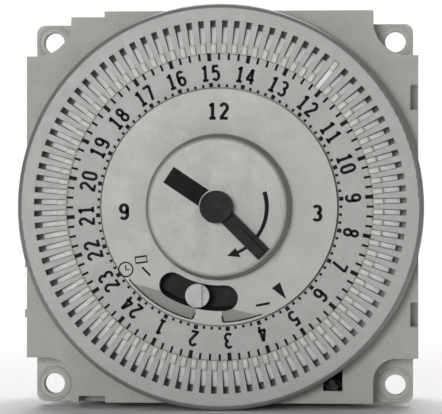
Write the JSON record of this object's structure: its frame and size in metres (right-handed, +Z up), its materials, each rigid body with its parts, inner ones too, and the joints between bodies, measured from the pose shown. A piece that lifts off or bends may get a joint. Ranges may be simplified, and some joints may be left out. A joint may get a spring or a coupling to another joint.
{
  "type": "programmable timer",
  "caption": "Square panel-mounted 24-hour timer module: round dial ring with sliding tappets, fixed clock face with hour disc and minute hand, override knob, terminals behind.",
  "frame": {"origin": "centre of the four screw holes, on the rear plane of the ears", "axes": "+Z up, the front faces -Y, the dial's axis runs along Y, 1.1 mm above the origin"},
  "size_m": [0.07, 0.0552, 0.07],
  "materials": {
    "cover_plastic": "fine moulded grain",
    "case_plastic": "moulded, slightly glossy",
    "cap_plastic": "satin",
    "dial_plastic": "satin",
    "tappet_plastic": "translucent white",
    "disc_plastic": "satin",
    "hand_plastic": "satin black",
    "gear_plastic": "natural acetal",
    "lever_plastic": "dark grey acetal",
    "knob_plastic": "light grey",
    "switch_plastic": "black",
    "brass": "rolled sheet",
    "steel": "bright",
    "can_steel": "deep-drawn, zinc plated",
    "copper": "enamelled copper wire",
    "lead_insulation": "soft insulation",
    "label_film": "silver film"
  },
  "bodies": {
    "housing": {"front_cover": "cover_plastic", "rear_case": "case_plastic", "face_cap": "cap_plastic", "gear_plate": "switch_plastic", "back_plate": "brass", "pillars": "brass", "plate_screws": "steel", "wheel_studs": "steel", "motor_plate": "steel", "motor_can": "can_steel", "coil_bobbin": "gear_plastic", "coil_winding": "copper", "motor_leads": "lead_insulation", "switch_case": "switch_plastic", "switch_contacts": "copper", "contact_strips": "brass", "terminal_tabs": "brass", "rating_blank": "label_film", "detent_spring": "steel", "follower_spring": "steel"},
    "dial": {"dial_face": "dial_plastic", "dial_drum": "dial_plastic", "tappets_set": "tappet_plastic"},
    "hour_hand": {"hour_disc": "disc_plastic", "hour_wheel": "gear_plastic"},
    "minute_drive": {"minute_hand": "hand_plastic", "centre_arbor": "steel", "minute_wheel": "brass", "clutch_spring": "steel"},
    "motion_drive": {"motion_wheel": "gear_plastic"},
    "idler_drive": {"dial_idler": "gear_plastic"},
    "motor_drive": {"motor_pinion": "brass"},
    "override": {"override_lever": "lever_plastic", "override_knob": "knob_plastic"},
    "follower": {"follower_lever": "lever_plastic"},
    "plunger": {"switch_plunger": "gear_plastic"},
    "tappet_01_body": {"tappet_01": "tappet_plastic"},
    "tappet_02_body": {"tappet_02": "tappet_plastic"},
    "tappet_03_body": {"tappet_03": "tappet_plastic"},
    "tappet_04_body": {"tappet_04": "tappet_plastic"},
    "tappet_05_body": {"tappet_05": "tappet_plastic"},
    "tappet_06_body": {"tappet_06": "tappet_plastic"},
    "tappet_07_body": {"tappet_07": "tappet_plastic"},
    "tappet_08_body": {"tappet_08": "tappet_plastic"},
    "tappet_09_body": {"tappet_09": "tappet_plastic"},
    "tappet_10_body": {"tappet_10": "tappet_plastic"},
    "tappet_11_body": {"tappet_11": "tappet_plastic"},
    "tappet_12_body": {"tappet_12": "tappet_plastic"},
    "tappet_13_body": {"tappet_13": "tappet_plastic"},
    "tappet_14_body": {"tappet_14": "tappet_plastic"},
    "tappet_15_body": {"tappet_15": "tappet_plastic"},
    "tappet_16_body": {"tappet_16": "tappet_plastic"},
    "tappet_17_body": {"tappet_17": "tappet_plastic"},
    "tappet_18_body": {"tappet_18": "tappet_plastic"},
    "tappet_19_body": {"tappet_19": "tappet_plastic"},
    "tappet_20_body": {"tappet_20": "tappet_plastic"},
    "tappet_21_body": {"tappet_21": "tappet_plastic"},
    "tappet_22_body": {"tappet_22": "tappet_plastic"},
    "tappet_23_body": {"tappet_23": "tappet_plastic"},
    "tappet_24_body": {"tappet_24": "tappet_plastic"}
  },
  "joints": [
    {"name": "dial_spin", "type": "hinge", "parent": "housing", "child": "dial", "pos_m": [0, -0.012, 0.0011], "axis": [0, 1, 0], "continuous": true},
    {"name": "hour_spin", "type": "hinge", "parent": "housing", "child": "hour_hand", "pos_m": [0, -0.01, 0.0011], "axis": [0, 1, 0], "continuous": true},
    {"name": "minute_spin", "type": "hinge", "parent": "housing", "child": "minute_drive", "pos_m": [0, -0.01, 0.0011], "axis": [0, 1, 0], "continuous": true},
    {"name": "motion_spin", "type": "hinge", "parent": "housing", "child": "motion_drive", "pos_m": [-0.00866, 0.002, 0.0061], "axis": [0, 1, 0], "continuous": true},
    {"name": "idler_spin", "type": "hinge", "parent": "housing", "child": "idler_drive", "pos_m": [0.01125, -0.003, 0.02059], "axis": [0, 1, 0], "continuous": true},
    {"name": "motor_spin", "type": "hinge", "parent": "housing", "child": "motor_drive", "pos_m": [0, 0.0065, -0.0081], "axis": [0, 1, 0], "continuous": true},
    {"name": "override_turn", "type": "hinge", "parent": "housing", "child": "override", "pos_m": [0, -0.011, 0.0011], "axis": [0, 1, 0], "range_deg": [-17, 17]},
    {"name": "follower_turn", "type": "hinge", "parent": "housing", "child": "follower", "pos_m": [0.0085, -0.005, -0.0269], "axis": [0, 1, 0], "range_deg": [-6.5, 0]},
    {"name": "plunger_slide", "type": "slide", "parent": "housing", "child": "plunger", "axis": [1, 0, 0], "range_m": [-0.0009, 0]},
    {"name": "tappet_01_slide", "type": "slide", "parent": "dial", "child": "tappet_01_body", "axis": [-0.4103, 0, -0.9119], "range_m": [0, 0.0039]},
    {"name": "tappet_02_slide", "type": "slide", "parent": "dial", "child": "tappet_02_body", "axis": [-0.1603, 0, -0.9871], "range_m": [0, 0.0039]},
    {"name": "tappet_03_slide", "type": "slide", "parent": "dial", "child": "tappet_03_body", "axis": [0.1006, 0, -0.9949], "range_m": [0, 0.0039]},
    {"name": "tappet_04_slide", "type": "slide", "parent": "dial", "child": "tappet_04_body", "axis": [0.3547, 0, -0.935], "range_m": [0, 0.0039]},
    {"name": "tappet_05_slide", "type": "slide", "parent": "dial", "child": "tappet_05_body", "axis": [0.5846, 0, -0.8113], "range_m": [0, 0.0039]},
    {"name": "tappet_06_slide", "type": "slide", "parent": "dial", "child": "tappet_06_body", "axis": [0.7747, 0, -0.6324], "range_m": [0, 0.0039]},
    {"name": "tappet_07_slide", "type": "slide", "parent": "dial", "child": "tappet_07_body", "axis": [0.9119, 0, -0.4103], "range_m": [0, 0.0039]},
    {"name": "tappet_08_slide", "type": "slide", "parent": "dial", "child": "tappet_08_body", "axis": [0.9871, 0, -0.1603], "range_m": [0, 0.0039]},
    {"name": "tappet_09_slide", "type": "slide", "parent": "dial", "child": "tappet_09_body", "axis": [0.9949, 0, 0.1006], "range_m": [0, 0.0039]},
    {"name": "tappet_10_slide", "type": "slide", "parent": "dial", "child": "tappet_10_body", "axis": [0.935, 0, 0.3547], "range_m": [0, 0.0039]},
    {"name": "tappet_11_slide", "type": "slide", "parent": "dial", "child": "tappet_11_body", "axis": [0.8113, 0, 0.5846], "range_m": [0, 0.0039]},
    {"name": "tappet_12_slide", "type": "slide", "parent": "dial", "child": "tappet_12_body", "axis": [0.6324, 0, 0.7747], "range_m": [-0.0039, 0]},
    {"name": "tappet_13_slide", "type": "slide", "parent": "dial", "child": "tappet_13_body", "axis": [0.4103, 0, 0.9119], "range_m": [0, 0.0039]},
    {"name": "tappet_14_slide", "type": "slide", "parent": "dial", "child": "tappet_14_body", "axis": [0.1603, 0, 0.9871], "range_m": [0, 0.0039]},
    {"name": "tappet_15_slide", "type": "slide", "parent": "dial", "child": "tappet_15_body", "axis": [-0.1006, 0, 0.9949], "range_m": [0, 0.0039]},
    {"name": "tappet_16_slide", "type": "slide", "parent": "dial", "child": "tappet_16_body", "axis": [-0.3547, 0, 0.935], "range_m": [0, 0.0039]},
    {"name": "tappet_17_slide", "type": "slide", "parent": "dial", "child": "tappet_17_body", "axis": [-0.5846, 0, 0.8113], "range_m": [0, 0.0039]},
    {"name": "tappet_18_slide", "type": "slide", "parent": "dial", "child": "tappet_18_body", "axis": [-0.7747, 0, 0.6324], "range_m": [0, 0.0039]},
    {"name": "tappet_19_slide", "type": "slide", "parent": "dial", "child": "tappet_19_body", "axis": [-0.9119, 0, 0.4103], "range_m": [0, 0.0039]},
    {"name": "tappet_20_slide", "type": "slide", "parent": "dial", "child": "tappet_20_body", "axis": [-0.9871, 0, 0.1603], "range_m": [0, 0.0039]},
    {"name": "tappet_21_slide", "type": "slide", "parent": "dial", "child": "tappet_21_body", "axis": [-0.9949, 0, -0.1006], "range_m": [0, 0.0039]},
    {"name": "tappet_22_slide", "type": "slide", "parent": "dial", "child": "tappet_22_body", "axis": [-0.935, 0, -0.3547], "range_m": [0, 0.0039]},
    {"name": "tappet_23_slide", "type": "slide", "parent": "dial", "child": "tappet_23_body", "axis": [-0.8113, 0, -0.5846], "range_m": [0, 0.0039]},
    {"name": "tappet_24_slide", "type": "slide", "parent": "dial", "child": "tappet_24_body", "axis": [-0.6324, 0, -0.7747], "range_m": [0, 0.0039]}
  ],
  "couplings": [
    {"joint": "hour_spin", "follows": "dial_spin", "ratio": 2},
    {"joint": "minute_spin", "follows": "dial_spin", "ratio": 24},
    {"joint": "motion_spin", "follows": "dial_spin", "ratio": -6},
    {"joint": "idler_spin", "follows": "dial_spin", "ratio": -8},
    {"joint": "motor_spin", "follows": "dial_spin", "ratio": -86.4},
    {"joint": "plunger_slide", "follows": "follower_turn", "m_per_rad": 0.0075}
  ]
}
